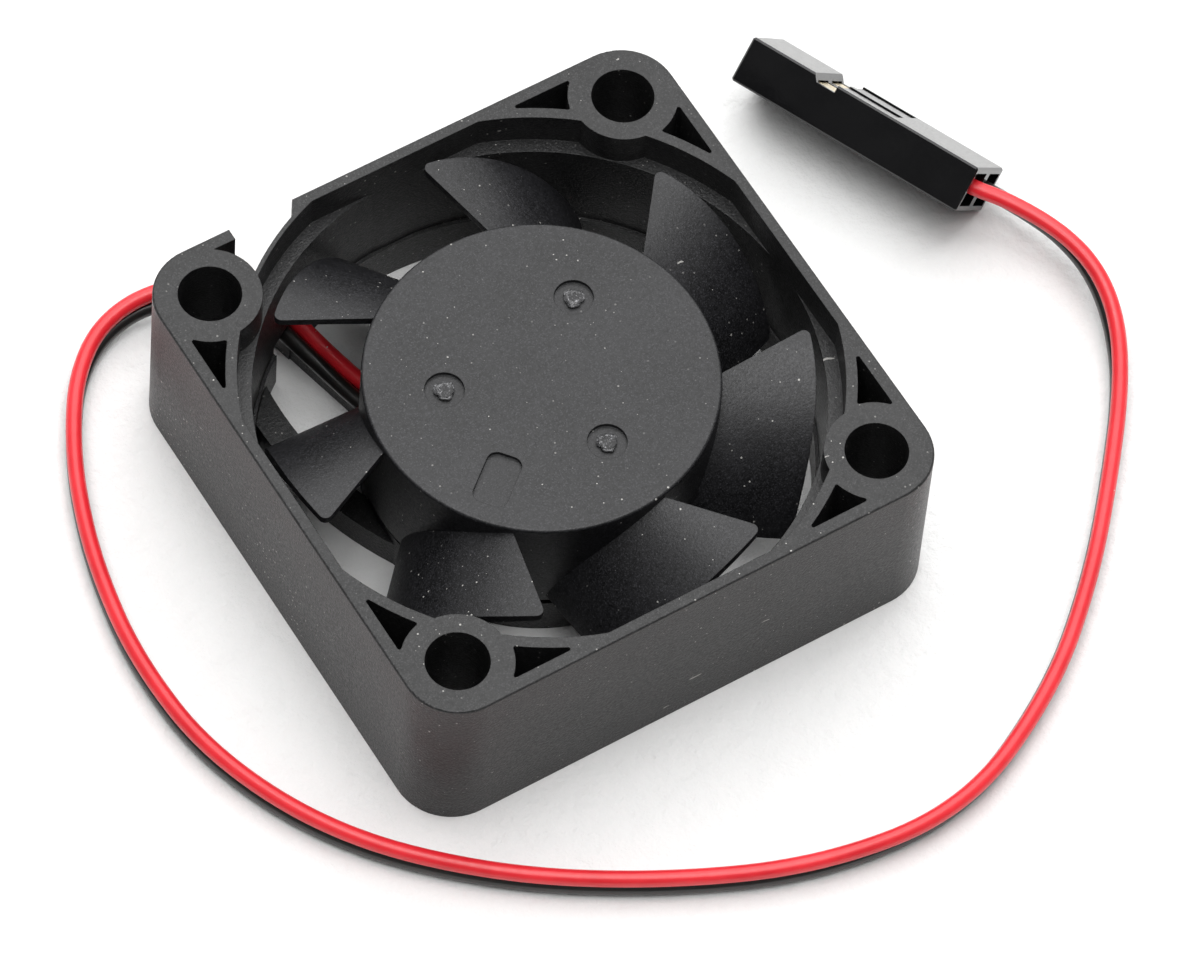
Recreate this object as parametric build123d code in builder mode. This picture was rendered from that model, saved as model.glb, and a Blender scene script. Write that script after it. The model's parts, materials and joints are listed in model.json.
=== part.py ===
from build123d import *
import math
import os

os.makedirs("parts", exist_ok=True)

# ---------------------------------------------------------------- driving dimensions (mm)
# A 30 mm square axial fan. Origin: centre of the frame's underside, +Z along the fan's axis.
FRAME_SIDE = 30.0
FRAME_HEIGHT = 10.3
FRAME_CORNER = 3.0
FRAME_DRAFT = 0.8                 # degrees the side walls lean in towards the top
HOLE_PITCH = 24.0
HOLE_RADIUS = 1.6
CORNER = HOLE_PITCH / 2           # each screw hole's offset from the axis in X and in Y
BOSS_RADIUS = 2.62
RIB_RADIUS = 2.8                  # pocket side of each boss
RECESS_RADIUS = 15.05             # wide inlet at the top of the duct
RECESS_FLAT = 14.25               # where the four side walls cut the inlet
RECESS_FLOOR = 8.3
TOP_EDGE_ROUND = 0.12
BORE_RADIUS = 14.3
THROAT_RADIUS = 14.12
THROAT_HEIGHT = 2.6
RING_OUTER = 15.62                # pocket side of the ring around the duct
POCKET_WALL = 14.17
POCKET_FLOOR = 1.6
POCKET_ROUND = 0.1
NOTCH_SKIN = 15.27                # outer face of the ring inside the lead notch
NOTCH_START_X = -9.3
NOTCH_END_X = -5.65

# Motor base, struts, lead rib and bearing tube
BASE_RADIUS = 8.7
BASE_FLOOR = 0.8
BASE_RIM_HEIGHT = 2.5
BASE_RIM_WALL = 0.6
LABEL_RECESS = 0.12
LABEL_CLEARANCE = 0.02
LABEL_RADIUS = 8.1
STRUT_START = (-10.2, 11.4)
STRUT_MIDDLE = (-10.15, 5.6)
STRUT_END = (-7.3, -1.6)
STRUT_WIDTH = 1.5
STRUT_HEIGHT = 1.9
LEAD_RIB_START = (-5.36, 6.03)
LEAD_RIB_END = (-7.1, 13.2)
LEAD_RIB_WIDTH = 1.0
LEAD_RIB_SHIFT = 0.25             # the rib lies to one side of the two leads' middle
LEAD_RIB_TOP = 1.78
SLOT_WIDTH = 2.1                  # lead slot through the base's rim and the duct wall
SLOT_HEIGHT = 1.3
SLOT_REACH = 2.5                  # how far the slot runs on past each end of the rib
MOUTH_LENGTH = 3.0                # opening through the foot of the duct wall, beside the rib
MOUTH_WIDTH = 1.45
MOUTH_SHIFT = 1.05
LEDGE_RADIUS = 3.7
TUBE_OUTER = 2.8
TUBE_TOP = 7.7
TUBE_SHOULDER = 1.62

# Ball bearings, 1.5 x 4 x 2
SHAFT_RADIUS = 0.75
BEARING_OUTER = 2.0
BEARING_WIDTH = 2.0
BEARING_FLOORS = {"lower": 1.0, "upper": 5.6}
RACE_OUTER = 1.66
RACE_INNER = 1.1
BALL_PITCH = 1.38
BALL_RADIUS = 0.36
BALL_COUNT = 6
GROOVE_RADIUS = 0.4
SHIELD_THICKNESS = 0.1
SHIELD_INSET = 0.05
SHIELD_CLEARANCE = 0.08
CAGE_WALL = 0.32
CAGE_BELOW = 0.1                  # cage edges below and above the balls' centres
CAGE_ABOVE = 0.5
CAGE_CLEARANCE = 0.03

# Rotor
HUB_RADIUS = 8.95
HUB_TOP = 9.95
HUB_BOTTOM = 3.3
HUB_PLATE = 0.9
HUB_EDGE_ROUND = 0.16
HUB_BOSS_RADIUS = 1.9
HUB_BOSS_BOTTOM = 8.3
YOKE_RADIUS = 8.0
YOKE_WALL = 0.4
MAGNET_INNER = 6.65
MAGNET_BOTTOM = 3.7
MAGNET_HEIGHT = 4.0
SHAFT_BOTTOM = 0.5
SHAFT_TOP = 9.5
GROOVE_BOTTOM = 0.72
GROOVE_TOP = 0.86
GROOVE_DEPTH = 0.13
CLIP_RADIUS = 1.35
CLIP_GAP = 0.9
WASHER_RADIUS = 1.3
SPRING_WIRE = 0.09                # radius of the wire
SPRING_RADIUS = 0.97
BLADE_COUNT = 7
BLADE_LEAD_AZIMUTH = 34.1         # leading tip corner of the first blade
BLADE_TIP_RADIUS = 13.65
BLADE_THICKNESS = 0.55
BLADE_TIP_ROUND = 0.35
GATE_MARK_CIRCLE = 4.9
GATE_MARK_RADIUS = 1.0
GATE_MARK_AZIMUTH = 40
GATE_NUB_RADIUS = 0.45
MARK_DEPTH = 0.2
OBLONG_MARK_CIRCLE = 6.4
OBLONG_MARK_AZIMUTH = -141
OBLONG_MARK_LENGTH = 3.0
OBLONG_MARK_WIDTH = 1.8
OBLONG_MARK_CORNER = 0.55

# Stator and circuit board
POLE_COUNT = 4
POLE_WIDTH = 1.9
CORE_RADIUS = 6.2
CORE_HUB_RADIUS = 3.6
ARM_REACH = 5.8                   # length of each pole arm, inside its shoe
CORE_BOTTOM = 4.1
CORE_TOP = 6.5
SHOE_THICKNESS = 0.7
SLOT_OPENING = 1.4
BOBBIN_FLANGE = 0.6
BOBBIN_CIRCLE = 5.65
BOBBIN_WALL = 0.4
COIL_START = 3.7
COIL_LENGTH = 1.4
COIL_WIDTH = 3.9
COIL_HEIGHT = 4.0
BOARD_BOTTOM = 1.2
BOARD_TOP = 1.78
BOARD_RADIUS = 7.9
PIN_CIRCLE = 5.38
PIN_RADIUS = 0.22
SOLDER_RADIUS = 0.62
FOOT_HEIGHT = 0.3                 # metal feet or end caps of the surface-mount parts
FOOT_OVERHANG = 0.15
BODY_GAP = 0.1

# Leads and plug
LEAD_DIAMETER = 0.84
PLUG_ORIGIN = (27.45, 1.86)       # top corner of the wire end, in plan
PLUG_HEADING = 114.6              # degrees from +X to the plug's long axis
PLUG_ROLL = 51.3                  # degrees its wide side leans down from level
PLUG_LENGTH = 13.8
PIN_PITCH = 2.54
PLUG_WIDTH = 2 * PIN_PITCH
PLUG_THICKNESS = 2.54
CAVITY_SIDE = 1.9
CRIMP_START = 2.6                 # where each lead ends inside the plug
MATING_WALL = 0.8
MATING_HOLE = 0.9
PLUG_EDGE = 0.1                   # chamfer along the housing's outer edges
LATCH_START = 5.3
LATCH_END = 9.7
STEP_LENGTH = 1.1                 # the step in the latch face, and how far its end slopes
STEP_DEPTH = 0.4
STEP_SLOPE = 0.3
FINGER_LENGTH = 3.3
FINGER_WIDTH = 1.3
FINGER_THICKNESS = 0.3
FINGER_TOP = 0.07                 # how far the fingers sit below the latch face
CONTACT_START = 7.0               # box contact, open along its length for the pin
CONTACT_LENGTH = 5.8
CONTACT_SIDE = 1.7
CONTACT_INSIDE = 1.1
BARREL_LENGTH = 2.7               # crimp barrel around the lead's end
BARREL_SIDE = 1.1
NECK_THICKNESS = 0.3

# Centre lines of the two leads, from the solder pad to the crimp, as corner points.
RED_ROUTE = [
    (-4.10, 5.00, 2.22),
    (-5.22, 7.45, 2.22),
    (-5.90, 10.10, 2.22),
    (-6.50, 13.20, 2.22),
    (-7.38, 15.20, 2.25),
    (-9.45, 17.20, 2.15),
    (-12.30, 18.25, 1.86),
    (-15.20, 17.75, 1.58),
    (-17.50, 15.80, 1.38),
    (-19.20, 13.15, 1.30),
    (-20.70, 9.95, 1.30),
    (-22.05, 5.65, 1.30),
    (-22.90, 0.15, 1.30),
    (-22.40, -6.40, 1.30),
    (-19.25, -13.30, 1.30),
    (-13.60, -19.00, 1.30),
    (-6.85, -23.30, 1.30),
    (0.55, -26.50, 1.30),
    (8.40, -27.35, 1.30),
    (15.75, -23.85, 1.30),
    (21.00, -19.40, 1.30),
    (25.10, -14.90, 1.30),
    (28.45, -10.80, 1.45),
    (30.25, -7.60, 2.00),
    (30.70, -4.90, 2.75),
    (30.05, -2.40, 3.40),
    (28.55, 0.30, 3.765),
    (27.17, 2.12, 3.765),
    (26.19, 4.14, 3.765),
]
BLACK_ROUTE = [
    (-5.55, 5.25, 2.22),
    (-6.20, 7.45, 2.22),
    (-6.88, 10.60, 2.22),
    (-7.52, 13.45, 2.22),
    (-8.35, 14.95, 1.75),
    (-9.80, 16.75, 1.28),
    (-12.15, 18.05, 1.00),
    (-15.10, 17.65, 0.72),
    (-17.50, 15.80, 0.53),
    (-19.20, 13.15, 0.45),
    (-20.70, 9.95, 0.45),
    (-22.05, 5.65, 0.45),
    (-22.90, 0.15, 0.45),
    (-22.40, -6.40, 0.45),
    (-19.25, -13.30, 0.45),
    (-13.60, -19.00, 0.45),
    (-6.85, -23.30, 0.45),
    (0.55, -26.50, 0.45),
    (8.55, -27.10, 0.45),
    (16.05, -23.45, 0.45),
    (21.30, -19.00, 0.45),
    (25.40, -14.50, 0.45),
    (28.75, -10.40, 0.58),
    (30.30, -7.10, 1.10),
    (30.90, -4.25, 1.42),
    (30.60, -1.75, 1.65),
    (29.80, 0.30, 1.765),
    (28.62, 2.72, 1.785),
    (27.63, 4.80, 1.785),
]


def save(builder, name):
    """Label a finished piece and write its STEP file."""
    builder.part.label = name
    export_step(builder.part, f"parts/{name}.step")


def disc(radius, height):
    """Round face about the fan's axis."""
    with BuildSketch(Plane.XY.offset(height)) as face:
        Circle(radius)
    return face.sketch


def ring(radius_outer, radius_inner, z_low, z_high):
    """Plain ring about the fan's axis, added to the part that is being built."""
    face = disc(radius_outer, z_low) - disc(radius_inner, z_low)
    extrude(face, amount=z_high - z_low)


def bore(radius, z_low, z_high):
    """Round hole on the fan's axis, cut from the part that is being built."""
    extrude(disc(radius, z_low), amount=z_high - z_low, mode=Mode.SUBTRACT)


def polar_point(radius, azimuth, height):
    """Point on a cylinder about the fan's axis; azimuth in degrees from +X."""
    angle = math.radians(azimuth)
    return Vector(radius * math.cos(angle), radius * math.sin(angle), height)


# ---------------------------------------------------------------- frame
# One corner pocket, between the side wall, the duct ring and a screw boss.
with BuildSketch() as pocket:
    with Locations((8.5, -(POCKET_WALL + CORNER) / 2)):
        Rectangle(7.0, POCKET_WALL - CORNER)
    Circle(RING_OUTER, mode=Mode.SUBTRACT)
    with Locations((CORNER, -CORNER)):
        Circle(RIB_RADIUS, mode=Mode.SUBTRACT)
    fillet(pocket.vertices(), POCKET_ROUND)
pocket_pair = [pocket.sketch, mirror(pocket.sketch, about=Plane.YZ)]
NOTCH_TURN = 2

with BuildSketch() as strut_plan:
    with BuildLine():
        ThreePointArc(STRUT_START, STRUT_MIDDLE, STRUT_END)
    trace(line_width=STRUT_WIDTH)

rib_run = Vector(*LEAD_RIB_END) - Vector(*LEAD_RIB_START)
rib_middle = (Vector(*LEAD_RIB_START) + Vector(*LEAD_RIB_END)) * 0.5
rib_plane = Plane(origin=rib_middle, x_dir=rib_run, z_dir=(0, 0, 1))

with BuildPart() as frame:
    # Outer block with drafted sides.
    with BuildSketch():
        RectangleRounded(FRAME_SIDE, FRAME_SIDE, FRAME_CORNER)
    extrude(amount=FRAME_HEIGHT, taper=FRAME_DRAFT)
    fillet(frame.faces().sort_by(Axis.Z)[-1].edges(), TOP_EDGE_ROUND)
    # Wide inlet, with the screw bosses bulging into it, over the bore and its throat.
    with BuildSketch(Plane.XY.offset(RECESS_FLOOR)):
        Circle(RECESS_RADIUS)
        Rectangle(2 * RECESS_FLAT, 2 * RECESS_FLAT, mode=Mode.INTERSECT)
        with GridLocations(HOLE_PITCH, HOLE_PITCH, 2, 2):
            Circle(BOSS_RADIUS, mode=Mode.SUBTRACT)
    extrude(amount=FRAME_HEIGHT, mode=Mode.SUBTRACT)
    with BuildSketch(Plane.XY.offset(THROAT_HEIGHT)):
        Circle(BORE_RADIUS)
        Rectangle(2 * RECESS_FLAT, 2 * RECESS_FLAT, mode=Mode.INTERSECT)
    extrude(amount=FRAME_HEIGHT, mode=Mode.SUBTRACT)
    bore(THROAT_RADIUS, 0, FRAME_HEIGHT)
    # Seven corner pockets; the eighth place is the lead notch.
    with BuildSketch(Plane.XY.offset(POCKET_FLOOR)):
        for turn in range(4):
            for half, shape in enumerate(pocket_pair):
                if turn != NOTCH_TURN or half == 1:
                    add(shape, rotation=90 * turn)
    extrude(amount=FRAME_HEIGHT, mode=Mode.SUBTRACT)
    # Lead notch in the +Y wall: leaves a hook of wall beside the boss.
    with BuildSketch():
        with BuildLine():
            Polyline(
                (NOTCH_START_X, 16.0),
                (NOTCH_START_X, POCKET_WALL),
                (-10.9, POCKET_WALL),
                (-9.2, 11.6),
                (-6.4, 13.55),
                (NOTCH_END_X, 14.8),
                (NOTCH_END_X, 16.0),
                close=True,
            )
        make_face()
        Circle(NOTCH_SKIN, mode=Mode.SUBTRACT)
        with Locations((-CORNER, CORNER)):
            Circle(BOSS_RADIUS, mode=Mode.SUBTRACT)
    extrude(amount=FRAME_HEIGHT, mode=Mode.SUBTRACT)
    # Motor base with three curved struts and the straight rib that the leads lie on.
    ring(BASE_RADIUS, TUBE_SHOULDER, 0, BASE_RIM_HEIGHT)
    with BuildSketch():
        for turn in range(3):
            add(strut_plan.sketch, rotation=120 * turn)
        Circle(THROAT_RADIUS + 0.2, mode=Mode.INTERSECT)
    extrude(amount=STRUT_HEIGHT)
    with BuildSketch(rib_plane):
        with Locations((0, -LEAD_RIB_SHIFT)):
            Rectangle(rib_run.length, LEAD_RIB_WIDTH)
    extrude(amount=LEAD_RIB_TOP)
    bore(BASE_RADIUS - BASE_RIM_WALL, BASE_FLOOR, FRAME_HEIGHT)
    with BuildSketch(rib_plane.offset(LEAD_RIB_TOP)):
        Rectangle(rib_run.length + 2 * SLOT_REACH, SLOT_WIDTH)
    extrude(amount=SLOT_HEIGHT, mode=Mode.SUBTRACT)
    with BuildSketch(rib_plane):
        with Locations((rib_run.length / 2, MOUTH_SHIFT)):
            Rectangle(MOUTH_LENGTH, MOUTH_WIDTH)
    extrude(amount=LEAD_RIB_TOP + SLOT_HEIGHT, mode=Mode.SUBTRACT)
    # Ledge that carries the circuit board, and the bearing tube with its inner shoulder.
    ring(LEDGE_RADIUS, TUBE_SHOULDER, BASE_FLOOR, BOARD_BOTTOM)
    ring(TUBE_OUTER, TUBE_SHOULDER, BASE_FLOOR, TUBE_TOP)
    bore(TUBE_SHOULDER, 0, TUBE_TOP)
    bore(BEARING_OUTER, 0, BEARING_FLOORS["lower"] + BEARING_WIDTH)
    bore(BEARING_OUTER, BEARING_FLOORS["upper"], TUBE_TOP)
    bore(LABEL_RADIUS + 0.1, 0, LABEL_RECESS)
    with BuildSketch():
        with GridLocations(HOLE_PITCH, HOLE_PITCH, 2, 2):
            Circle(HOLE_RADIUS)
    extrude(amount=FRAME_HEIGHT, mode=Mode.SUBTRACT)
save(frame, "frame")

with BuildPart() as rear_label:
    with BuildSketch(Plane.XY.offset(LABEL_CLEARANCE)):
        Circle(LABEL_RADIUS)
    extrude(amount=LABEL_RECESS - LABEL_CLEARANCE)
save(rear_label, "rear_label")

# ---------------------------------------------------------------- ball bearings
for place, bottom in BEARING_FLOORS.items():
    centre = bottom + BEARING_WIDTH / 2
    top = bottom + BEARING_WIDTH
    with BuildPart() as outer_race:
        ring(BEARING_OUTER, RACE_OUTER, bottom, top)
        with Locations((0, 0, centre)):
            Torus(BALL_PITCH, GROOVE_RADIUS, mode=Mode.SUBTRACT)
    save(outer_race, f"{place}_outer_race")
    with BuildPart() as inner_race:
        ring(RACE_INNER, SHAFT_RADIUS, bottom, top)
        with Locations((0, 0, centre)):
            Torus(BALL_PITCH, GROOVE_RADIUS, mode=Mode.SUBTRACT)
    save(inner_race, f"{place}_inner_race")
    with BuildPart() as bearing_shields:
        for level in (bottom + SHIELD_INSET, top - SHIELD_INSET - SHIELD_THICKNESS):
            ring(RACE_OUTER, RACE_INNER + SHIELD_CLEARANCE, level, level + SHIELD_THICKNESS)
    save(bearing_shields, f"{place}_bearing_shields")
    with BuildPart() as ball_cage:
        ring(BALL_PITCH + CAGE_WALL / 2, BALL_PITCH - CAGE_WALL / 2, centre - CAGE_BELOW, centre + CAGE_ABOVE)
        with Locations((0, 0, centre)):
            with PolarLocations(BALL_PITCH, BALL_COUNT):
                Sphere(BALL_RADIUS + CAGE_CLEARANCE, mode=Mode.SUBTRACT)
    save(ball_cage, f"{place}_ball_cage")
    with BuildPart() as balls:
        with Locations((0, 0, centre)):
            with PolarLocations(BALL_PITCH, BALL_COUNT):
                Sphere(BALL_RADIUS)
    save(balls, f"{place}_balls")

# ---------------------------------------------------------------- stator
with BuildSketch() as pole_shoes:
    Circle(CORE_RADIUS)
    Circle(CORE_RADIUS - SHOE_THICKNESS, mode=Mode.SUBTRACT)
    with PolarLocations(CORE_RADIUS, POLE_COUNT, start_angle=180 / POLE_COUNT):
        Rectangle(3 * SHOE_THICKNESS, SLOT_OPENING, mode=Mode.SUBTRACT)

with BuildPart() as stator_core:
    with BuildSketch(Plane.XY.offset(CORE_BOTTOM)):
        Circle(CORE_HUB_RADIUS)
        with PolarLocations(CORE_RADIUS / 2, POLE_COUNT):
            Rectangle(ARM_REACH, POLE_WIDTH)
        add(pole_shoes.sketch)
        Circle(TUBE_OUTER, mode=Mode.SUBTRACT)
    extrude(amount=CORE_TOP - CORE_BOTTOM)
save(stator_core, "stator_core")

insulator_floors = {"lower_insulator": CORE_BOTTOM - BOBBIN_FLANGE, "upper_insulator": CORE_TOP}
for name, floor in insulator_floors.items():
    with BuildPart() as insulator:
        with BuildSketch(Plane.XY.offset(floor)):
            Circle(CORE_HUB_RADIUS)
            with PolarLocations(CORE_RADIUS / 2, POLE_COUNT):
                Rectangle(ARM_REACH, POLE_WIDTH)
            with PolarLocations(BOBBIN_CIRCLE, POLE_COUNT):
                Rectangle(BOBBIN_WALL, COIL_WIDTH)
            Circle(TUBE_OUTER, mode=Mode.SUBTRACT)
        extrude(amount=BOBBIN_FLANGE)
    save(insulator, name)

for index in range(POLE_COUNT):
    azimuth = index * 360 / POLE_COUNT
    pole_plane = Plane(
        origin=polar_point(COIL_START, azimuth, (CORE_BOTTOM + CORE_TOP) / 2),
        x_dir=(0, 0, 1),
        z_dir=polar_point(1, azimuth, 0),
    )
    with BuildPart() as coil:
        with BuildSketch(pole_plane):
            RectangleRounded(COIL_HEIGHT + 2 * BOBBIN_FLANGE, COIL_WIDTH, 0.6)
            Rectangle(CORE_TOP - CORE_BOTTOM + 2 * BOBBIN_FLANGE, POLE_WIDTH, mode=Mode.SUBTRACT)
        extrude(amount=COIL_LENGTH)
    save(coil, f"coil_{index + 1}")

# ---------------------------------------------------------------- circuit board
pin_places = [polar_point(PIN_CIRCLE, 360 / POLE_COUNT * index, 0) for index in range(3)]

with BuildPart() as circuit_board:
    with BuildSketch(Plane.XY.offset(BOARD_BOTTOM)):
        Circle(BOARD_RADIUS)
        Circle(TUBE_OUTER + 0.05, mode=Mode.SUBTRACT)
        with Locations(*pin_places):
            Circle(PIN_RADIUS, mode=Mode.SUBTRACT)
    extrude(amount=BOARD_TOP - BOARD_BOTTOM)
save(circuit_board, "circuit_board")

with BuildPart() as terminal_pins:
    with BuildSketch(Plane.XY.offset(BOARD_BOTTOM)):
        with Locations(*pin_places):
            Circle(PIN_RADIUS)
    extrude(amount=CORE_BOTTOM - BOBBIN_FLANGE - BOARD_BOTTOM)
save(terminal_pins, "terminal_pins")

# Surface-mount parts: radius, azimuth, length, width, height of each body.
BOARD_PARTS = {
    "driver_chip": (6.3, -45, 1.6, 2.9, 0.8),
    "capacitor": (6.2, 45, 1.25, 2.0, 0.8),
    "resistor": (6.2, -135, 0.8, 1.6, 0.45),
    "diode": (6.2, -165, 1.2, 1.8, 0.7),
}
for name, (radius, azimuth, length, width, height) in BOARD_PARTS.items():
    spot = Plane(
        origin=polar_point(radius, azimuth, BOARD_TOP),
        x_dir=polar_point(1, azimuth, 0),
        z_dir=(0, 0, 1),
    )
    with BuildPart() as board_part:
        with BuildSketch(spot.offset(BODY_GAP)):
            Rectangle(length, width)
        extrude(amount=height - BODY_GAP)
        # Metal feet or end caps under both ends.
        with BuildSketch(spot):
            with GridLocations(0, width - FOOT_HEIGHT, 1, 2):
                Rectangle(length + 2 * FOOT_OVERHANG, FOOT_HEIGHT)
        extrude(amount=FOOT_HEIGHT)
    save(board_part, name)

with BuildPart() as solder_joints:
    with Locations(*[(route[0][0], route[0][1], BOARD_TOP) for route in (RED_ROUTE, BLACK_ROUTE)]):
        Sphere(SOLDER_RADIUS)
    split(bisect_by=Plane.XY.offset(BOARD_TOP), keep=Keep.TOP)
save(solder_joints, "solder_joints")

# ---------------------------------------------------------------- impeller
# The blade is built pointing along +X, its leading tip corner at +LEAD_SIDE degrees.
LEAD_SIDE = 18.0
# Corner lines of the blade's upper face: (radius, azimuth, height) at the hub and at the tip.
blade_lines = {
    "leading": [(8.95, 8.2, 9.6), (BLADE_TIP_RADIUS, LEAD_SIDE, 9.95)],
    "camber": [(8.95, -15.5, 7.4), (BLADE_TIP_RADIUS, -2.1, 8.25)],
    "trailing": [(8.95, -31.3, 3.75), (BLADE_TIP_RADIUS, -LEAD_SIDE, 3.35)],
}


def blade_corner(line, distance):
    """Where one of the blade's lines meets the plane x = distance, as (y, z)."""
    root, tip = [polar_point(*end) for end in blade_lines[line]]
    share = (distance - root.X) / (tip.X - root.X)
    crossing = root + (tip - root) * share
    return Vector(crossing.Y, crossing.Z)


HUB_INSIDE = 7.0                  # the two planes that the blade is lofted between
BEYOND_TIP = 14.4

with BuildSketch() as blade_outline:
    with BuildLine():
        corners = [
            (distance, blade_corner(line, distance).X)
            for line, distance in (
                ("leading", HUB_INSIDE),
                ("leading", BEYOND_TIP),
                ("trailing", BEYOND_TIP),
                ("trailing", HUB_INSIDE),
            )
        ]
        Polyline(*corners, close=True)
    make_face()
    Circle(BLADE_TIP_RADIUS, mode=Mode.INTERSECT)
    fillet(blade_outline.vertices().group_by(Axis.X)[-1], BLADE_TIP_ROUND)
    fillet(blade_outline.vertices().filter_by(lambda corner: corner.X > 12 and corner.Y < -4), 0.4)
    Circle((HUB_RADIUS + YOKE_RADIUS) / 2, mode=Mode.SUBTRACT)

with BuildPart() as blade:
    for distance in (HUB_INSIDE, BEYOND_TIP):
        leading, camber, trailing = [blade_corner(line, distance) for line in blade_lines]
        chord = (trailing - leading).normalized()
        under = Vector(-chord.Y, chord.X) * BLADE_THICKNESS
        with BuildSketch(Plane(origin=(distance, 0, 0), x_dir=(0, 1, 0), z_dir=(1, 0, 0))):
            with BuildLine():
                ThreePointArc(leading, camber, trailing)
                Line(trailing, trailing + under)
                ThreePointArc(trailing + under, camber + under, leading + under)
                Line(leading + under, leading)
            make_face()
    loft(ruled=True)
    extrude(blade_outline.sketch, amount=FRAME_HEIGHT, mode=Mode.INTERSECT)

with BuildPart() as impeller:
    # Hub cup: plate, skirt and the boss that holds the shaft.
    extrude(disc(HUB_RADIUS, HUB_BOTTOM), amount=HUB_TOP - HUB_BOTTOM)
    fillet(impeller.edges().sort_by(Axis.Z)[-1], HUB_EDGE_ROUND)
    bore(YOKE_RADIUS, HUB_BOTTOM, HUB_TOP - HUB_PLATE)
    extrude(disc(HUB_BOSS_RADIUS, HUB_BOSS_BOTTOM), amount=HUB_TOP - HUB_PLATE - HUB_BOSS_BOTTOM)
    bore(SHAFT_RADIUS, HUB_BOSS_BOTTOM, SHAFT_TOP)
    # Moulding marks on the plate: three gate recesses and one oblong recess.
    with BuildSketch(Plane.XY.offset(HUB_TOP - MARK_DEPTH)):
        with PolarLocations(GATE_MARK_CIRCLE, 3, start_angle=GATE_MARK_AZIMUTH):
            Circle(GATE_MARK_RADIUS)
            Circle(GATE_NUB_RADIUS, mode=Mode.SUBTRACT)
        with PolarLocations(OBLONG_MARK_CIRCLE, 1, start_angle=OBLONG_MARK_AZIMUTH):
            RectangleRounded(OBLONG_MARK_LENGTH, OBLONG_MARK_WIDTH, OBLONG_MARK_CORNER)
    extrude(amount=HUB_PLATE, mode=Mode.SUBTRACT)
    with PolarLocations(0, BLADE_COUNT, start_angle=BLADE_LEAD_AZIMUTH - LEAD_SIDE):
        add(blade.part)
save(impeller, "impeller")

PLATE_BOTTOM = HUB_TOP - HUB_PLATE
with BuildPart() as rotor_yoke:
    ring(YOKE_RADIUS, YOKE_RADIUS - YOKE_WALL, HUB_BOTTOM + 0.1, PLATE_BOTTOM)
    ring(YOKE_RADIUS - YOKE_WALL, HUB_BOSS_RADIUS + 0.3, PLATE_BOTTOM - YOKE_WALL, PLATE_BOTTOM)
save(rotor_yoke, "rotor_yoke")

with BuildPart() as ring_magnet:
    ring(YOKE_RADIUS - YOKE_WALL, MAGNET_INNER, MAGNET_BOTTOM, MAGNET_BOTTOM + MAGNET_HEIGHT)
save(ring_magnet, "ring_magnet")

with BuildPart() as shaft:
    extrude(disc(SHAFT_RADIUS, SHAFT_BOTTOM), amount=SHAFT_TOP - SHAFT_BOTTOM)
    chamfer(shaft.edges().sort_by(Axis.Z)[0], 0.12)
    groove = disc(CLIP_RADIUS, GROOVE_BOTTOM) - disc(SHAFT_RADIUS - GROOVE_DEPTH, GROOVE_BOTTOM)
    extrude(groove, amount=GROOVE_TOP - GROOVE_BOTTOM, mode=Mode.SUBTRACT)
save(shaft, "shaft")

with BuildPart() as retaining_clip:
    ring(CLIP_RADIUS, SHAFT_RADIUS - GROOVE_DEPTH, GROOVE_BOTTOM, GROOVE_TOP)
    with BuildSketch(Plane.XY.offset(GROOVE_BOTTOM)):
        with Locations((CLIP_RADIUS, 0)):
            Rectangle(2 * CLIP_RADIUS, CLIP_GAP)
    extrude(amount=GROOVE_TOP - GROOVE_BOTTOM, mode=Mode.SUBTRACT)
save(retaining_clip, "retaining_clip")

with BuildPart() as thrust_washer:
    ring(WASHER_RADIUS, SHAFT_RADIUS, GROOVE_TOP, BEARING_FLOORS["lower"])
save(thrust_washer, "thrust_washer")

# Preload spring: squeezed between the upper inner race and the hub's boss.
spring_low = BEARING_FLOORS["upper"] + BEARING_WIDTH + SPRING_WIRE
spring_high = HUB_BOSS_BOTTOM - SPRING_WIRE
with BuildPart() as preload_spring:
    with BuildLine(Plane.XY.offset(spring_low)) as coil_line:
        Helix(pitch=(spring_high - spring_low) / 2, height=spring_high - spring_low, radius=SPRING_RADIUS)
    spring_path = coil_line.wire()
    with BuildSketch(Plane(origin=spring_path @ 0, z_dir=spring_path % 0)):
        Circle(SPRING_WIRE)
    sweep(path=spring_path)
save(preload_spring, "preload_spring")

# ---------------------------------------------------------------- leads
def corner_radii(route):
    """Largest fillet at each corner of a route that its two runs allow."""
    points = [Vector(*point) for point in route]
    radii = []
    for before, here, after in zip(points, points[1:], points[2:]):
        half_turn = math.radians((here - before).get_angle(after - here)) / 2
        shorter = min((here - before).length, (after - here).length)
        radii.append(0.45 * shorter / math.tan(half_turn))
    return radii


for name, route in {"red_lead": RED_ROUTE, "black_lead": BLACK_ROUTE}.items():
    radii = corner_radii(route)
    with BuildPart() as lead:
        with BuildLine() as lead_line:
            FilletPolyline(*route, radius=radii)
        path = lead_line.wire()
        with BuildSketch(Plane(origin=path @ 0, z_dir=path % 0)):
            Circle(LEAD_DIAMETER / 2)
        sweep(path=path)
    save(lead, name)
    expected = math.pi * LEAD_DIAMETER**2 / 4 * path.length
    print(name, "length", round(path.length, 1), "volume ratio", round(lead.part.volume / expected, 4))
    print(name, "radii", [round(radius, 1) for radius in radii])

# ---------------------------------------------------------------- plug
heading = math.radians(PLUG_HEADING)
roll = math.radians(PLUG_ROLL)
plug_long = Vector(math.cos(heading), math.sin(heading), 0)
plug_wide = Vector(math.sin(heading) * math.cos(roll), -math.cos(heading) * math.cos(roll), -math.sin(roll))
plug_deep = plug_long.cross(plug_wide)
plug_top = -PLUG_WIDTH * plug_wide.Z - PLUG_THICKNESS * plug_deep.Z
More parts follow.
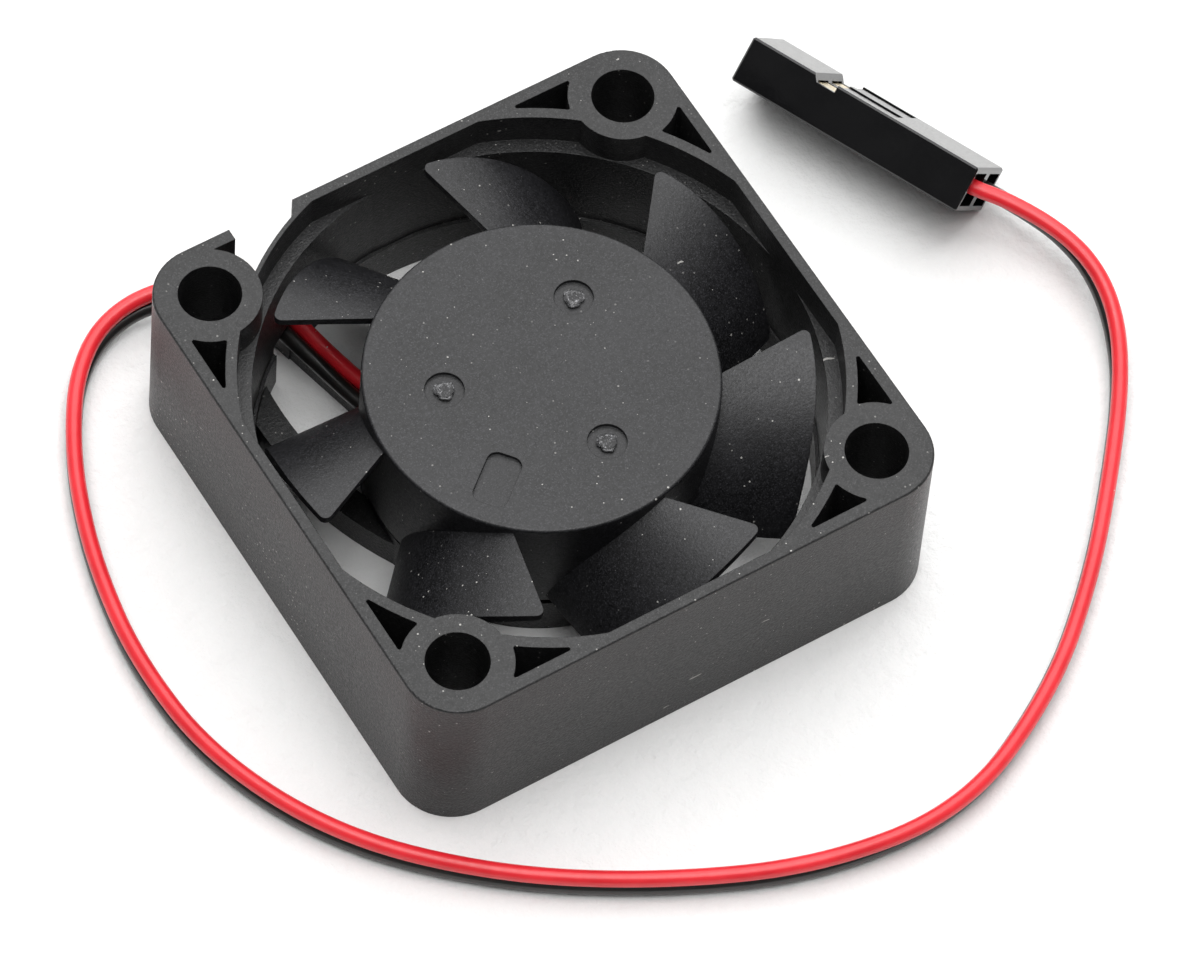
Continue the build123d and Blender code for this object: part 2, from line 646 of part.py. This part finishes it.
# Plug axes: x from the wire end to the mating end, y across the pins, z down from the latch face.
plug_plane = Plane(origin=(*PLUG_ORIGIN, plug_top), x_dir=plug_long, z_dir=plug_deep)
pin_rows = [PIN_PITCH / 2, PIN_PITCH * 3 / 2]

with BuildPart(plug_plane) as connector_housing:
    with Locations((PLUG_LENGTH / 2, PLUG_WIDTH / 2, PLUG_THICKNESS / 2)):
        Box(PLUG_LENGTH, PLUG_WIDTH, PLUG_THICKNESS)
    chamfer(connector_housing.edges(), PLUG_EDGE)
    # One square cavity per pin, open at the wire end, with a small hole at the mating end.
    for row in pin_rows:
        with Locations(((PLUG_LENGTH - MATING_WALL) / 2, row, PLUG_THICKNESS / 2)):
            Box(PLUG_LENGTH - MATING_WALL, CAVITY_SIDE, CAVITY_SIDE, mode=Mode.SUBTRACT)
        with Locations((PLUG_LENGTH / 2, row, PLUG_THICKNESS / 2)):
            Box(PLUG_LENGTH, MATING_HOLE, MATING_HOLE, mode=Mode.SUBTRACT)
        # Latch window through the upper wall.
        with Locations(((LATCH_START + LATCH_END) / 2, row, 0)):
            Box(LATCH_END - LATCH_START, CAVITY_SIDE, CAVITY_SIDE, mode=Mode.SUBTRACT)
    # The latch face steps down at the window's mating end, with a sloping end.
    with BuildSketch(Plane(origin=plug_plane.origin, x_dir=plug_long, z_dir=-plug_wide)):
        with BuildLine():
            Polyline(
                (LATCH_END - STEP_LENGTH, -STEP_DEPTH),
                (LATCH_END - STEP_LENGTH, STEP_DEPTH),
                (LATCH_END, STEP_DEPTH),
                (LATCH_END + STEP_SLOPE, 0),
                (LATCH_END + STEP_SLOPE, -STEP_DEPTH),
                close=True,
            )
        make_face()
    extrude(amount=-PLUG_WIDTH, mode=Mode.SUBTRACT)
    # Latch fingers, rooted at the wire end of each window.
    for row in pin_rows:
        with Locations((LATCH_START + FINGER_LENGTH / 2 - 0.1, row, FINGER_TOP + FINGER_THICKNESS / 2)):
            Box(FINGER_LENGTH, FINGER_WIDTH, FINGER_THICKNESS)
save(connector_housing, "connector_housing")

for name, row in zip(("red_terminal", "black_terminal"), pin_rows):
    with BuildPart(plug_plane) as terminal:
        with Locations((CONTACT_START + CONTACT_LENGTH / 2, row, PLUG_THICKNESS / 2)):
            Box(CONTACT_LENGTH, CONTACT_SIDE, CONTACT_SIDE)
            Box(CONTACT_LENGTH, CONTACT_INSIDE, CONTACT_INSIDE, mode=Mode.SUBTRACT)
        # Neck along the lower wall, from the crimp barrel to the box.
        neck_length = CONTACT_START - CRIMP_START
        neck_level = (PLUG_THICKNESS + CONTACT_SIDE - NECK_THICKNESS) / 2
        with Locations((CRIMP_START + neck_length / 2, row, neck_level)):
            Box(neck_length, BARREL_SIDE, NECK_THICKNESS)
        barrel_level = neck_level + (NECK_THICKNESS - BARREL_SIDE) / 2
        with Locations((CRIMP_START + BARREL_LENGTH / 2, row, barrel_level)):
            Box(BARREL_LENGTH, BARREL_SIDE, BARREL_SIDE)
    save(terminal, name)
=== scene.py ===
import bpy
import bmesh
import json
import math
import random
from mathutils import Matrix, Vector


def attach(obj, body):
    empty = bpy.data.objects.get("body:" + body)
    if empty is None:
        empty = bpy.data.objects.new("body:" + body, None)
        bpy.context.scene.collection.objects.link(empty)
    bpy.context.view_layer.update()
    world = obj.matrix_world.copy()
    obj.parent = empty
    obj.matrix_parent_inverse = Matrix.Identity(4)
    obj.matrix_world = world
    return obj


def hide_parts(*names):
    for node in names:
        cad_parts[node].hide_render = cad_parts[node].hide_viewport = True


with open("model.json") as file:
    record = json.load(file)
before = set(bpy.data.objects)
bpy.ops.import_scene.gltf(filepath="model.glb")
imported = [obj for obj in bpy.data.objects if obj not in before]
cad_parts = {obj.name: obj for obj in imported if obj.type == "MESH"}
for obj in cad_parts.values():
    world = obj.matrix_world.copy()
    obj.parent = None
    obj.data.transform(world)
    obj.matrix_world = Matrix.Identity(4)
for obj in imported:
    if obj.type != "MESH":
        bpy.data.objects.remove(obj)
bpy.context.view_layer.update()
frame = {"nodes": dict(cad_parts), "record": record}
nodes = frame["nodes"]
MM = 0.001
random.seed(7)


# ---------------------------------------------------------------- camera
CAMERA_PLACE = Vector((-112.835, -158.864, 326.003)) * MM
CAMERA_AIM = Vector((2.920, -1.743, 0.0)) * MM
CAMERA_LENS = 225.5
CAMERA_ROLL = math.radians(5.89)
SENSOR_WIDTH = 36.0
NEAREST = 10 * MM
FARTHEST = 10.0

camera_data = bpy.data.cameras.new("camera")
camera_data.lens = CAMERA_LENS
camera_data.sensor_width = SENSOR_WIDTH
camera_data.clip_start = NEAREST
camera_data.clip_end = FARTHEST
camera = bpy.data.objects.new("camera", camera_data)
bpy.context.scene.collection.objects.link(camera)
look = (CAMERA_AIM - CAMERA_PLACE).to_track_quat("-Z", "Y")
roll = Matrix.Rotation(CAMERA_ROLL, 4, "Z")
camera.matrix_world = Matrix.Translation(CAMERA_PLACE) @ look.to_matrix().to_4x4() @ roll
bpy.context.scene.camera = camera


# ---------------------------------------------------------------- shader helpers
finishes = {}                     # slot name: material


def material(name):
    """New node material; returns it with its tree and its Principled shader."""
    made = bpy.data.materials.new(name)
    finishes[name] = made
    made.use_nodes = True
    tree = made.node_tree
    return made, tree, tree.nodes["Principled BSDF"]


def node(tree, kind, inputs=None, **settings):
    """Add a node; inputs maps a socket's name or number to a value or to a socket."""
    made = tree.nodes.new(kind)
    for key, value in settings.items():
        setattr(made, key, value)
    for key, value in (inputs or {}).items():
        if isinstance(value, bpy.types.NodeSocket):
            tree.links.new(value, made.inputs[key])
        else:
            made.inputs[key].default_value = value
    return made


def maths(tree, operation, first, second=None, third=None, clamp=False):
    """Math node on values or sockets; returns its output."""
    inputs = {0: first}
    if second is not None:
        inputs[1] = second
    if third is not None:
        inputs[2] = third
    return node(tree, "ShaderNodeMath", inputs, operation=operation, use_clamp=clamp).outputs[0]


def position(tree):
    """The piece's own coordinates, in metres."""
    return node(tree, "ShaderNodeTexCoord").outputs["Object"]


def noise(tree, where, scale, detail=2.0, rough=0.5, distort=0.0):
    """Noise value; scale is in cells per metre."""
    made = node(
        tree,
        "ShaderNodeTexNoise",
        {"Vector": where, "Scale": scale, "Detail": detail, "Roughness": rough, "Distortion": distort},
    )
    return made.outputs["Fac"]


def ramp(tree, value, low, high, low_out=0.0, high_out=1.0):
    """Map a value linearly, clamped."""
    made = node(
        tree,
        "ShaderNodeMapRange",
        {"Value": value, "From Min": low, "From Max": high, "To Min": low_out, "To Max": high_out},
        clamp=True,
    )
    return made.outputs["Result"]


def blend_colour(tree, share, first, second):
    """Mix two colours (tuples or sockets) by a share."""
    made = tree.nodes.new("ShaderNodeMix")
    made.data_type = "RGBA"
    for key, value in ((0, share), (6, first), (7, second)):
        if isinstance(value, bpy.types.NodeSocket):
            tree.links.new(value, made.inputs[key])
        else:
            made.inputs[key].default_value = value if key == 0 else (*value, 1.0)
    return made.outputs[2]


def specks(tree, where, scale, size, share):
    """Sparse dots: about one in every 1/share cells of 1/scale metres, of that size in cells."""
    cells = node(
        tree, "ShaderNodeTexVoronoi", {"Vector": where, "Scale": scale, "Randomness": 1.0}
    )
    parts = node(tree, "ShaderNodeSeparateColor", {0: cells.outputs["Color"]})
    radius = maths(tree, "MULTIPLY_ADD", parts.outputs["Green"], 0.6 * size, 0.4 * size)
    inside = maths(tree, "LESS_THAN", cells.outputs["Distance"], radius)
    chosen = maths(tree, "LESS_THAN", parts.outputs["Red"], share)
    return maths(tree, "MULTIPLY", inside, chosen)


LINT_WANDER_CELLS = 900.0         # how closely a thread changes direction
LINT_WANDER = (0.0011, 0.0011, 0.0)
LINT_STRETCH = (0.16, 1.0, 1.0)
LINT_THICKNESS = 0.10             # in cells


def fibres(tree, where, turn, scale, share):
    """Sparse short curly threads of lint that lie along one direction."""
    bent = node(tree, "ShaderNodeTexNoise", {"Vector": where, "Scale": LINT_WANDER_CELLS, "Detail": 1.0})
    wander = node(
        tree, "ShaderNodeVectorMath", {0: bent.outputs["Color"], 1: LINT_WANDER}, operation="MULTIPLY"
    )
    curly = node(tree, "ShaderNodeVectorMath", {0: where, 1: wander.outputs[0]}, operation="ADD")
    along = node(
        tree,
        "ShaderNodeMapping",
        {"Vector": curly.outputs[0], "Rotation": (0.0, 0.0, turn), "Scale": LINT_STRETCH},
    )
    return specks(tree, along.outputs[0], scale, LINT_THICKNESS, share)


def bump(tree, height, distance, strength=1.0, normal=None):
    """Bump node; distance in metres. Returns the normal."""
    inputs = {"Height": height, "Distance": distance, "Strength": strength}
    if normal is not None:
        inputs["Normal"] = normal
    return node(tree, "ShaderNodeBump", inputs).outputs["Normal"]


def paint(piece, made):
    """Give a piece one material."""
    piece.data.materials.clear()
    piece.data.materials.append(made)


# ---------------------------------------------------------------- materials
BROAD_CELLS = 260.0               # texture scales, in cells per metre
MOTTLE_CELLS = 4200.0
GRAIN_CELLS = 7600.0
PAINTED_GLINT_CELLS = 12000.0
DUST_CELLS = 3400.0
FLUFF_CELLS = 1100.0
CLUSTER_CELLS = 170.0
DARKEST = 0.7                     # tone limits, as shares of a plastic's two colours
PALEST = 1.5
PAINTED_GLINT_LIFT = 4.2                # how much lighter than the plastic its painted glints are: specks of painted highlight in the base colour
DUST_COLOUR = (0.42, 0.41, 0.39)
LINT_PALENESS = 0.75
ROUNDED_EDGE = 0.06 * MM
UNEVENNESS = 0.03 * MM


def dust_mask(tree, where, dust):
    """Dust specks of two sizes, gathered in clusters, and curly threads of lint."""
    small = specks(tree, where, DUST_CELLS, 0.19, 0.15 * dust)
    large = specks(tree, where, FLUFF_CELLS, 0.075, 0.16 * dust)
    lint = maths(
        tree,
        "MAXIMUM",
        fibres(tree, where, 0.6, 1500.0, 0.022 * dust),
        fibres(tree, where, 2.3, 1300.0, 0.018 * dust),
    )
    clusters = ramp(tree, noise(tree, where, CLUSTER_CELLS, 3.0, 0.6), 0.42, 0.62, 0.15, 1.0)
    flecks = maths(tree, "MULTIPLY", maths(tree, "MAXIMUM", small, large), clusters)
    return maths(tree, "MAXIMUM", flecks, maths(tree, "MULTIPLY", lint, LINT_PALENESS))


def moulded_plastic(name, colour, light, roughness, grain, dust, edge=ROUNDED_EDGE):
    """Black moulded plastic: spark-eroded grain, tone variation, painted glints (specks of painted
    highlight in the base colour), rounded edges and dust.
    """
    made, tree, shader = material(name)
    where = position(tree)
    broad = noise(tree, where, BROAD_CELLS, 4.0, 0.6)
    mottle = noise(tree, where, MOTTLE_CELLS, 2.0, 0.6)
    fine = noise(tree, where, GRAIN_CELLS, 2.0, 0.6)
    painted_glint_mask = noise(tree, where, PAINTED_GLINT_CELLS, 1.0, 0.5)
    cloudy = maths(tree, "MULTIPLY_ADD", mottle, 0.55, maths(tree, "MULTIPLY", broad, 0.45))
    darkest = tuple(DARKEST * part for part in colour)
    palest = tuple(PALEST * part for part in light)
    tone = blend_colour(tree, ramp(tree, cloudy, 0.38, 0.62), darkest, palest)
    # painted highlight: sparse specks of base colour lifted well above the plastic stand in for glints of
    # light on the grain
    painted_glint = tuple(PAINTED_GLINT_LIFT * part for part in light)
    tone_and_painted_glints = blend_colour(tree, ramp(tree, painted_glint_mask, 0.53, 0.78), tone, painted_glint)
    dusty = blend_colour(tree, dust_mask(tree, where, dust), tone_and_painted_glints, DUST_COLOUR)
    tree.links.new(dusty, shader.inputs["Base Color"])
    gloss = ramp(tree, fine, 0.3, 0.75, roughness - 0.07, roughness + 0.12)
    tree.links.new(gloss, shader.inputs["Roughness"])
    rounded = node(tree, "ShaderNodeBevel", {"Radius": edge}, samples=4).outputs["Normal"]
    pits = bump(tree, fine, grain, 1.0, rounded)
    tree.links.new(bump(tree, broad, UNEVENNESS, 1.0, pits), shader.inputs["Normal"])
    shader.inputs["IOR"].default_value = 1.45
    return made


def insulation(name, colour, deep, roughness, coat):
    """Soft glossy wire insulation with a faint drawn grain."""
    made, tree, shader = material(name)
    where = position(tree)
    cloudy = noise(tree, where, 380.0, 3.0, 0.55)
    tone = blend_colour(tree, ramp(tree, cloudy, 0.35, 0.68), colour, deep)
    fine = noise(tree, where, 3000.0, 2.0, 0.6)
    dots = specks(tree, where, 1500.0, 0.09, 0.07)
    tree.links.new(blend_colour(tree, dots, tone, (0.6, 0.5, 0.48)), shader.inputs["Base Color"])
    tree.links.new(ramp(tree, fine, 0.3, 0.75, roughness, roughness + 0.12), shader.inputs["Roughness"])
    soft = bump(tree, cloudy, 0.04 * MM)
    tree.links.new(bump(tree, fine, 0.004 * MM, 1.0, soft), shader.inputs["Normal"])
    shader.inputs["Coat Weight"].default_value = coat
    shader.inputs["Coat Roughness"].default_value = 0.12
    shader.inputs["Subsurface Weight"].default_value = 0.12
    shader.inputs["Subsurface Scale"].default_value = 0.4 * MM
    return made


def metal(name, colour, worn, roughness, scale=2600.0, pitch=0.0, shape="BANDS"):
    """Metal with fine machining or drawing marks; a pitch adds laminations or turns of wire."""
    made, tree, shader = material(name)
    where = position(tree)
    marks = noise(tree, where, scale, 3.0, 0.6)
    stains = noise(tree, where, scale / 9, 3.0, 0.6)
    tone = blend_colour(tree, ramp(tree, stains, 0.35, 0.7), colour, worn)
    tree.links.new(tone, shader.inputs["Base Color"])
    tree.links.new(ramp(tree, marks, 0.3, 0.75, roughness, roughness + 0.15), shader.inputs["Roughness"])
    normal = bump(tree, marks, 0.003 * MM)
    if pitch:
        waves = node(
            tree,
            "ShaderNodeTexWave",
            {"Vector": where, "Scale": math.pi / 10 / pitch, "Distortion": 0.3},
            wave_type=shape,
            bands_direction="Z",
            rings_direction="Z",
        )
        normal = bump(tree, waves.outputs["Fac"], 0.3 * pitch, 1.0, normal)
    tree.links.new(normal, shader.inputs["Normal"])
    shader.inputs["Metallic"].default_value = 1.0
    return made


def plain_plastic(name, colour, second, roughness, scale=1400.0, depth=0.006 * MM, coat=0.0, dust=0.0):
    """Moulded or pressed non-metal with cloudy tone, fine grain and, if asked for, dust specks."""
    made, tree, shader = material(name)
    where = position(tree)
    cloudy = noise(tree, where, scale / 4, 3.0, 0.6)
    fine = noise(tree, where, scale * 3, 2.0, 0.6)
    tone = blend_colour(tree, ramp(tree, cloudy, 0.35, 0.7), colour, second)
    if dust:
        tone = blend_colour(tree, specks(tree, where, 1900.0, 0.14, dust), tone, (0.16, 0.16, 0.155))
    tree.links.new(tone, shader.inputs["Base Color"])
    tree.links.new(ramp(tree, fine, 0.3, 0.75, roughness, roughness + 0.12), shader.inputs["Roughness"])
    rounded = node(tree, "ShaderNodeBevel", {"Radius": 0.03 * MM}, samples=4).outputs["Normal"]
    tree.links.new(bump(tree, fine, depth, 1.0, rounded), shader.inputs["Normal"])
    shader.inputs["Coat Weight"].default_value = coat
    return made


moulded_plastic(
    "frame_plastic", (0.0055, 0.0055, 0.0058), (0.0100, 0.0100, 0.0103), 0.40, grain=0.030 * MM, dust=1.8
)
moulded_plastic(
    "impeller_plastic", (0.0055, 0.0055, 0.0063), (0.0090, 0.0090, 0.0100), 0.42, grain=0.013 * MM, dust=1.1
)
# torn gate plastic: paler than the hub as torn plastic is, and lightened further as a painted highlight on
# the scars
moulded_plastic(
    "torn_plastic_painted_highlight",
    (0.035, 0.035, 0.037),
    (0.085, 0.085, 0.088),
    0.26,
    grain=0.030 * MM,
    dust=0.5,
    edge=0.02 * MM,
)
insulation("red_insulation", (0.80, 0.022, 0.034), (0.68, 0.012, 0.022), 0.34, 0.25)
insulation("black_insulation", (0.011, 0.0105, 0.010), (0.016, 0.014, 0.013), 0.28, 0.3)
plain_plastic(
    "connector_plastic",
    (0.0025, 0.0025, 0.003),
    (0.0045, 0.0045, 0.005),
    0.09,
    scale=1800.0,
    depth=0.003 * MM,
    dust=0.05,
)
plain_plastic(
    "label_film", (0.60, 0.60, 0.58), (0.68, 0.67, 0.65), 0.35, scale=900.0, depth=0.003 * MM
)
metal("bearing_steel", (0.60, 0.60, 0.61), (0.50, 0.50, 0.52), 0.18)
metal("ball_steel", (0.82, 0.82, 0.83), (0.78, 0.78, 0.80), 0.05)
metal("cage_brass", (0.75, 0.58, 0.27), (0.62, 0.45, 0.20), 0.25)
metal("core_steel", (0.36, 0.37, 0.39), (0.28, 0.28, 0.30), 0.35, pitch=0.35 * MM)
plain_plastic("insulator_plastic", (0.72, 0.69, 0.60), (0.64, 0.61, 0.52), 0.4)
metal("coil_copper", (0.72, 0.30, 0.13), (0.55, 0.20, 0.08), 0.25, pitch=0.14 * MM, shape="RINGS")
plain_plastic(
    "board_laminate",
    (0.02, 0.13, 0.055),
    (0.015, 0.10, 0.045),
    0.28,
    scale=1200.0,
    depth=0.005 * MM,
    coat=0.3,
)
metal("pin_metal", (0.78, 0.66, 0.42), (0.66, 0.54, 0.33), 0.2)
plain_plastic("chip_epoxy", (0.02, 0.02, 0.021), (0.03, 0.03, 0.03), 0.5)
plain_plastic("capacitor_ceramic", (0.45, 0.33, 0.20), (0.38, 0.27, 0.16), 0.4)
plain_plastic("resistor_ceramic", (0.03, 0.03, 0.035), (0.05, 0.05, 0.055), 0.35)
metal("solder", (0.70, 0.71, 0.73), (0.58, 0.58, 0.60), 0.2)
plain_plastic("magnet_ferrite", (0.05, 0.05, 0.055), (0.075, 0.075, 0.08), 0.55)
metal("shaft_steel", (0.66, 0.66, 0.67), (0.58, 0.58, 0.60), 0.15)
plain_plastic("washer_plastic", (0.78, 0.76, 0.70), (0.70, 0.68, 0.62), 0.4)

for part in frame["record"]["subparts"]:
    paint(nodes[part["node"]], finishes[part["material_slot"]])


# ---------------------------------------------------------------- smooth shading on CAD nodes
def smooth(piece, angle=28.0):
    """Shade smooth, with edges sharper than the angle kept."""
    mesh = piece.data
    made = bmesh.new()
    made.from_mesh(mesh)
    limit = math.radians(angle)
    for face in made.faces:
        face.smooth = True
    for edge in made.edges:
        edge.smooth = len(edge.link_faces) == 2 and edge.calc_face_angle(0.0) < limit
    made.to_mesh(mesh)
    made.free()


for piece in nodes.values():
    smooth(piece)


# ---------------------------------------------------------------- torn gate centres on the hub
GATE_CIRCLE = 4.9 * MM
GATE_AZIMUTH = 40
GATE_COUNT = 3
SCAR_RADIUS = 0.52 * MM
SCAR_BASE = 9.9 * MM
SCAR_HEIGHT = 0.13 * MM
SCAR_DEPTH = 0.12 * MM            # how far the scar's foot goes down into the hub
SCAR_RINGS = 9
SCAR_SIDES = 36
SCAR_ROUGHNESS = 0.04 * MM
SCAR_FLOOR = 0.25                 # height inside the torn rim, as a share of the whole
RIM_PLACE = 0.68                  # where the rim is highest, as a share of the radius
RIM_WIDTH = 0.16


def scar_outline(angle, opening):
    """Ragged edge: the radius at an angle, as a share of the mean radius."""
    return 1 + 0.10 * math.sin(3 * angle + opening) + 0.05 * math.sin(7 * angle)


def scar_rise(share, angle, opening):
    """Height of the torn rim, which is open on one side, with random tears on it."""
    crest = math.exp(-(((share - RIM_PLACE) / RIM_WIDTH) ** 2))
    torn = max(0.0, math.cos((angle - opening) / 2)) ** 0.5
    rise = SCAR_HEIGHT * (SCAR_FLOOR + (1 - SCAR_FLOOR) * crest * torn) * (1 - share**6)
    return rise + random.uniform(-1, 1) * SCAR_ROUGHNESS * (1 - share**4)


def gate_scar(centre):
    """Mesh of one torn gate: a cap of rings round its middle, on a short foot."""
    opening = random.uniform(0, math.tau)
    scar = bmesh.new()
    rows = []
    for ring in range(SCAR_RINGS + 1):
        share = ring / SCAR_RINGS
        row = []
        for side in range(SCAR_SIDES):
            angle = side / SCAR_SIDES * math.tau
            rise = scar_rise(share, angle, opening)
            reach = SCAR_RADIUS * share * scar_outline(angle, opening)
            place = Vector((reach * math.cos(angle), reach * math.sin(angle), rise))
            row.append(scar.verts.new(centre + place))
        rows.append(row)
    foot = [scar.verts.new(vertex.co - Vector((0, 0, SCAR_DEPTH))) for vertex in rows[-1]]
    rows.append(foot)
    for inner, outer in zip(rows[1:], rows[2:]):
        for side in range(SCAR_SIDES):
            after = (side + 1) % SCAR_SIDES
            scar.faces.new((inner[side], outer[side], outer[after], inner[after]))
    middle = scar.verts.new(centre + Vector((0, 0, SCAR_FLOOR * SCAR_HEIGHT)))
    for side in range(SCAR_SIDES):
        scar.faces.new((middle, rows[1][side], rows[1][(side + 1) % SCAR_SIDES]))
    scar.faces.new(list(reversed(foot)))
    for vertex in rows[0]:
        scar.verts.remove(vertex)
    for face in scar.faces:
        face.smooth = True
    bmesh.ops.recalc_face_normals(scar, faces=scar.faces)
    return scar


for index in range(GATE_COUNT):
    azimuth = math.radians(GATE_AZIMUTH + index * 360 / GATE_COUNT)
    gate = Vector((GATE_CIRCLE * math.cos(azimuth), GATE_CIRCLE * math.sin(azimuth), SCAR_BASE))
    scar = gate_scar(gate)
    mesh = bpy.data.meshes.new(f"gate_scar_{index + 1}")
    scar.to_mesh(mesh)
    scar.free()
    piece = bpy.data.objects.new(f"gate_scar_{index + 1}", mesh)
    bpy.context.scene.collection.objects.link(piece)
    paint(piece, finishes["torn_plastic_painted_highlight"])
    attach(piece, "rotor")


# ---------------------------------------------------------------- leads
RED_ROUTE = [
    (-4.10, 5.00, 2.22),
    (-5.22, 7.45, 2.22),
    (-5.90, 10.10, 2.22),
    (-6.50, 13.20, 2.22),
    (-7.38, 15.20, 2.25),
    (-9.45, 17.20, 2.15),
    (-12.30, 18.25, 1.86),
    (-15.20, 17.75, 1.58),
    (-17.50, 15.80, 1.38),
    (-19.20, 13.15, 1.30),
    (-20.70, 9.95, 1.30),
    (-22.05, 5.65, 1.30),
    (-22.90, 0.15, 1.30),
    (-22.40, -6.40, 1.30),
    (-19.25, -13.30, 1.30),
    (-13.60, -19.00, 1.30),
    (-6.85, -23.30, 1.30),
    (0.55, -26.50, 1.30),
    (8.40, -27.35, 1.30),
    (15.75, -23.85, 1.30),
    (21.00, -19.40, 1.30),
    (25.10, -14.90, 1.30),
    (28.45, -10.80, 1.45),
    (30.25, -7.60, 2.00),
    (30.70, -4.90, 2.75),
    (30.05, -2.40, 3.40),
    (28.55, 0.30, 3.765),
    (27.17, 2.12, 3.765),
    (26.19, 4.14, 3.765),
]
BLACK_ROUTE = [
    (-5.55, 5.25, 2.22),
    (-6.20, 7.45, 2.22),
    (-6.88, 10.60, 2.22),
    (-7.52, 13.45, 2.22),
    (-8.35, 14.95, 1.75),
    (-9.80, 16.75, 1.28),
    (-12.15, 18.05, 1.00),
    (-15.10, 17.65, 0.72),
    (-17.50, 15.80, 0.53),
    (-19.20, 13.15, 0.45),
    (-20.70, 9.95, 0.45),
    (-22.05, 5.65, 0.45),
    (-22.90, 0.15, 0.45),
    (-22.40, -6.40, 0.45),
    (-19.25, -13.30, 0.45),
    (-13.60, -19.00, 0.45),
    (-6.85, -23.30, 0.45),
    (0.55, -26.50, 0.45),
    (8.55, -27.10, 0.45),
    (16.05, -23.45, 0.45),
    (21.30, -19.00, 0.45),
    (25.40, -14.50, 0.45),
    (28.75, -10.40, 0.58),
    (30.30, -7.10, 1.10),
    (30.90, -4.25, 1.42),
    (30.60, -1.75, 1.65),
    (29.80, 0.30, 1.765),
    (28.62, 2.72, 1.785),
    (27.63, 4.80, 1.785),
]
LEAD_DIAMETER = 0.84 * MM


def lead(name, route, replaced, slot):
    """One insulated wire as a smooth curve along its route, in place of its plain CAD tube."""
    curve = bpy.data.curves.new(name, "CURVE")
    curve.dimensions = "3D"
    curve.bevel_depth = LEAD_DIAMETER / 2
    curve.bevel_resolution = 8
    curve.use_fill_caps = True
    spline = curve.splines.new("NURBS")
    spline.points.add(len(route) - 1)
    for point, place in zip(spline.points, route):
        point.co = (*(Vector(place) * MM), 1.0)
    spline.order_u = 3
    spline.use_endpoint_u = True
    spline.resolution_u = 12
    piece = bpy.data.objects.new(name, curve)
    bpy.context.scene.collection.objects.link(piece)
    paint(piece, finishes[slot])
    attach(piece, "housing")
    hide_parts(replaced)


lead("red_wire", RED_ROUTE, "red_lead", "red_insulation")
lead("black_wire", BLACK_ROUTE, "black_lead", "black_insulation")


# ---------------------------------------------------------------- floor and light
FLOOR_HALF = 1.2
FLOOR_DROP = 0.02 * MM            # keeps the floor from coinciding with the underside
PULP_CELLS = 620.0

corners = [(-1, -1), (1, -1), (1, 1), (-1, 1)]
floor_data = bpy.data.meshes.new("floor")
floor_data.from_pydata([(x * FLOOR_HALF, y * FLOOR_HALF, 0) for x, y in corners], [], [(0, 1, 2, 3)])
floor = bpy.data.objects.new("floor", floor_data)
bpy.context.scene.collection.objects.link(floor)
floor.location.z = -FLOOR_DROP
paper, tree, shader = material("floor_paper")
pulp = noise(tree, position(tree), PULP_CELLS, 5.0, 0.62)
shader.inputs["Base Color"].default_value = (0.86, 0.86, 0.855, 1.0)
shader.inputs["Roughness"].default_value = 0.7
shader.inputs["Specular IOR Level"].default_value = 0.3
tree.links.new(bump(tree, pulp, 0.34 * MM, 0.9), shader.inputs["Normal"])
paint(floor, paper)

world = bpy.data.worlds.new("studio")
bpy.context.scene.world = world
world.use_nodes = True
tree = world.node_tree
background = tree.nodes["Background"]
background.inputs["Color"].default_value = (1.0, 1.0, 1.0, 1.0)
BACKDROP_SIDE = (0.59, 0.80, 0.0)  # the studio is bright behind the object and dim in front of it
DIM_SIDE = 0.17
BRIGHT_SIDE = 0.52
sky = node(tree, "ShaderNodeTexCoord").outputs["Generated"]
facing = node(tree, "ShaderNodeVectorMath", {0: sky, 1: BACKDROP_SIDE}, operation="DOT_PRODUCT")
strength = ramp(tree, facing.outputs["Value"], -0.45, 0.55, DIM_SIDE, BRIGHT_SIDE)
tree.links.new(strength, background.inputs["Strength"])


def soft_light(name, place, size, power):
    """Square area light that points at the middle of the part."""
    data = bpy.data.lights.new(name, "AREA")
    data.shape = "SQUARE"
    data.size = size
    data.energy = power
    lamp = bpy.data.objects.new(name, data)
    bpy.context.scene.collection.objects.link(lamp)
    lamp.location = place
    lamp.rotation_euler = (-Vector(place)).to_track_quat("-Z", "Y").to_euler()


soft_light("overhead_back", (0.17, 0.24, 0.48), size=0.70, power=3.4)
soft_light("overhead_front", (-0.06, -0.10, 0.62), size=0.45, power=2.6)

bpy.context.scene.view_settings.view_transform = "Standard"
bpy.context.scene.view_settings.look = "None"
